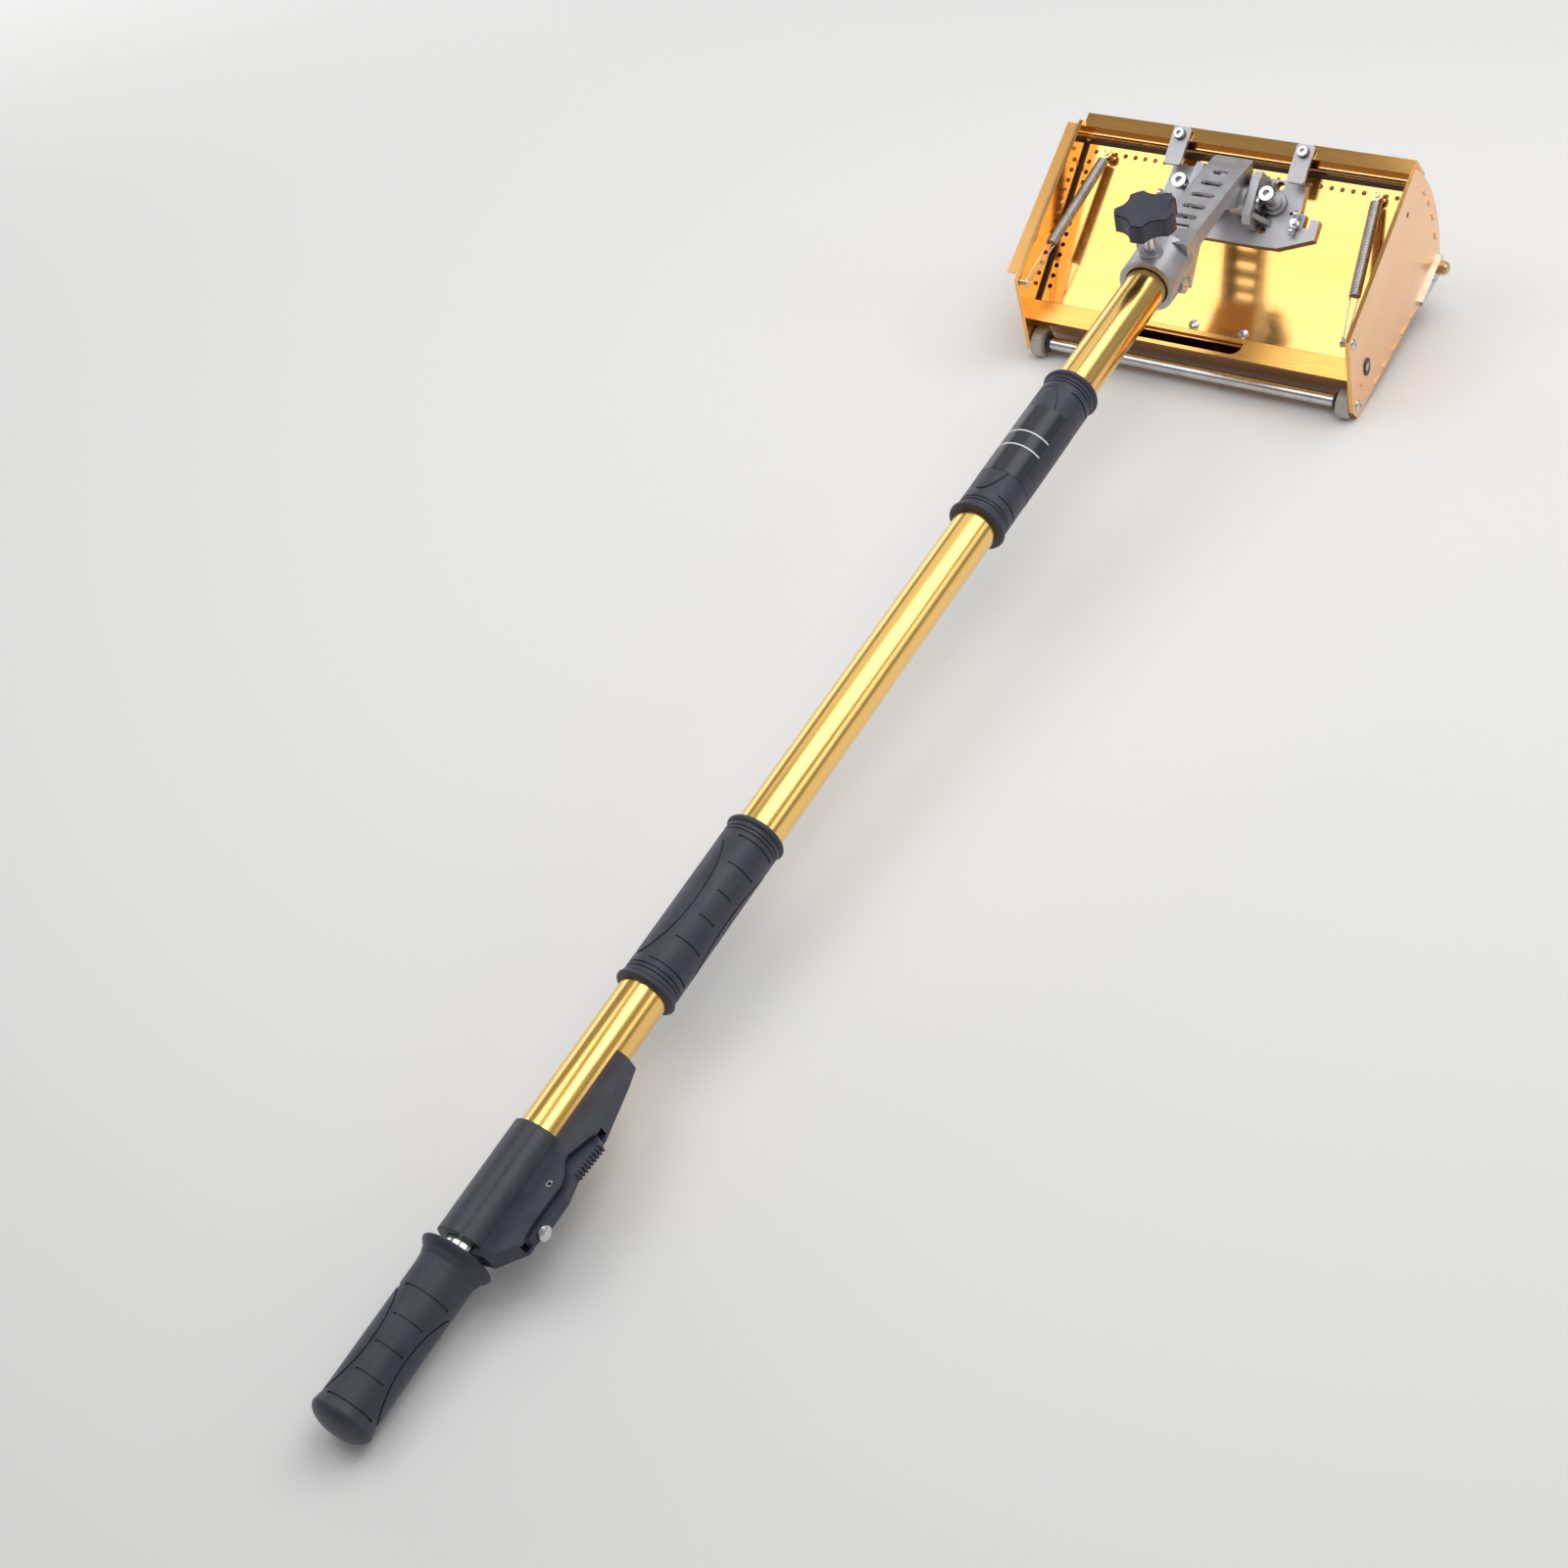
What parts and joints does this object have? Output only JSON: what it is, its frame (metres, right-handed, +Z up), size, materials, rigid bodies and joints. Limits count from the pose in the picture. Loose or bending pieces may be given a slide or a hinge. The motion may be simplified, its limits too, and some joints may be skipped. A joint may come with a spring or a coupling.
{
  "type": "drywall flat finishing box on an extendable handle",
  "caption": "Wide gold drywall finishing box with curved pressure plate housing, on a long telescoping pole with a pivoting clamp head, star knob, lever lock and rubber grips.",
  "frame": {"origin": "on the floor, at the centre of the bounding box's footprint", "axes": "+Z up, +X along the width of the box, +Y along the tool on the floor, from the end grip towards the box; the tool stands on its two wheels and the end of its handle"},
  "size_m": [0.274, 1.1002, 0.1728],
  "materials": {
    "gold_sheet": "bright gold anodised sheet",
    "gold_tube": "bright gold anodised tube",
    "steel": "bright zinc plated steel",
    "brass": "turned brass",
    "cast_grey": "grey sand-cast aluminium, coated",
    "black_plastic": "satin black moulded plastic",
    "black_rubber": "soft black rubber",
    "wheel_plastic": "grey-brown translucent plastic",
    "grip_rubber": "charcoal moulded grip rubber",
    "band": "plain satin grey band, no lettering",
    "chrome_tube": "polished chrome"
  },
  "bodies": {
    "box": {"side_plate_left": "gold_sheet", "side_plate_right": "gold_sheet", "curved_wall": "gold_sheet", "body_pan": "gold_sheet", "front_strip": "gold_sheet", "top_rail": "gold_sheet", "blade_holder": "steel", "blade": "steel", "skid_left": "steel", "skid_right": "steel", "crown_nut_left": "brass", "crown_nut_right": "brass", "hinge_rod": "steel", "hinge_bushes": "black_plastic", "wheel_axle": "steel", "axle_rings": "black_rubber", "axle_screws": "steel", "anchor_screws": "steel", "spring_left": "steel", "spring_right": "steel", "latch_screws": "steel", "latch_washers": "black_plastic"},
    "latch_l": {"latch_left": "cast_grey"},
    "latch_r": {"latch_right": "cast_grey"},
    "wheel_l": {"wheel_left": "wheel_plastic"},
    "wheel_r": {"wheel_right": "wheel_plastic"},
    "door": {"pressure_plate": "gold_sheet", "plate_seal": "black_rubber", "hinge_bar": "gold_sheet", "plate_screws": "steel", "spring_posts": "brass", "mount_plate": "cast_grey", "mount_studs": "steel", "bracket_left": "cast_grey", "bracket_right": "cast_grey", "cap_screws": "steel", "pivot_axle": "steel"},
    "handle": {"yoke": "cast_grey", "set_screw": "steel", "outer_tube": "gold_tube", "upper_grip": "grip_rubber", "grip_band": "band", "middle_grip": "grip_rubber", "lock_housing": "black_plastic", "roll_pin": "steel", "guide_bush": "black_plastic"},
    "knob": {"star_knob": "black_plastic", "clamp_stud": "steel"},
    "lever": {"lock_lever": "black_plastic", "lock_pin": "steel"},
    "inner": {"inner_tube": "chrome_tube", "inner_bush": "black_plastic", "end_grip": "grip_rubber"}
  },
  "joints": [
    {"name": "latch_left_turn", "type": "hinge", "parent": "box", "child": "latch_l", "pos_m": [-0.0465, 0.49968, 0.13692], "axis": [0, 0.6514, -0.7588], "range_deg": [0, 90]},
    {"name": "latch_right_turn", "type": "hinge", "parent": "box", "child": "latch_r", "pos_m": [0.0465, 0.49968, 0.13692], "axis": [0, -0.6514, 0.7588], "range_deg": [0, 90]},
    {"name": "wheel_left_spin", "type": "hinge", "parent": "box", "child": "wheel_l", "pos_m": [-0.1187, 0.40199, 0.01075], "axis": [1, 0, 0], "continuous": true},
    {"name": "wheel_right_spin", "type": "hinge", "parent": "box", "child": "wheel_r", "pos_m": [0.1187, 0.40199, 0.01075], "axis": [1, 0, 0], "continuous": true},
    {"name": "pressure_plate_swing", "type": "hinge", "parent": "box", "child": "door", "pos_m": [0, 0.41666, 0.03296], "axis": [1, 0, 0], "range_deg": [-34, 0], "stiffness_Nm_per_rad": 6, "springref_deg": 20.05, "deforming": ["spring_left", "spring_right"]},
    {"name": "handle_pivot", "type": "hinge", "parent": "door", "child": "handle", "pos_m": [0, 0.46953, 0.11262], "axis": [1, 0, 0], "range_deg": [-22, 25]},
    {"name": "clamp_knob_turn", "type": "hinge", "parent": "handle", "child": "knob", "pos_m": [0, 0.35354, 0.15814], "axis": [0, -0.1088, 0.9941], "continuous": true},
    {"name": "lock_lever_press", "type": "hinge", "parent": "handle", "child": "lever", "pos_m": [0.02942, -0.39674, 0.04167], "axis": [-0.2756, -0.1046, 0.9556], "range_deg": [0, 8], "stiffness_Nm_per_rad": 1, "springref_deg": -8.59},
    {"name": "telescope_slide", "type": "slide", "parent": "handle", "child": "inner", "axis": [0, -0.9941, -0.1088], "range_m": [0, 0.4]}
  ]
}
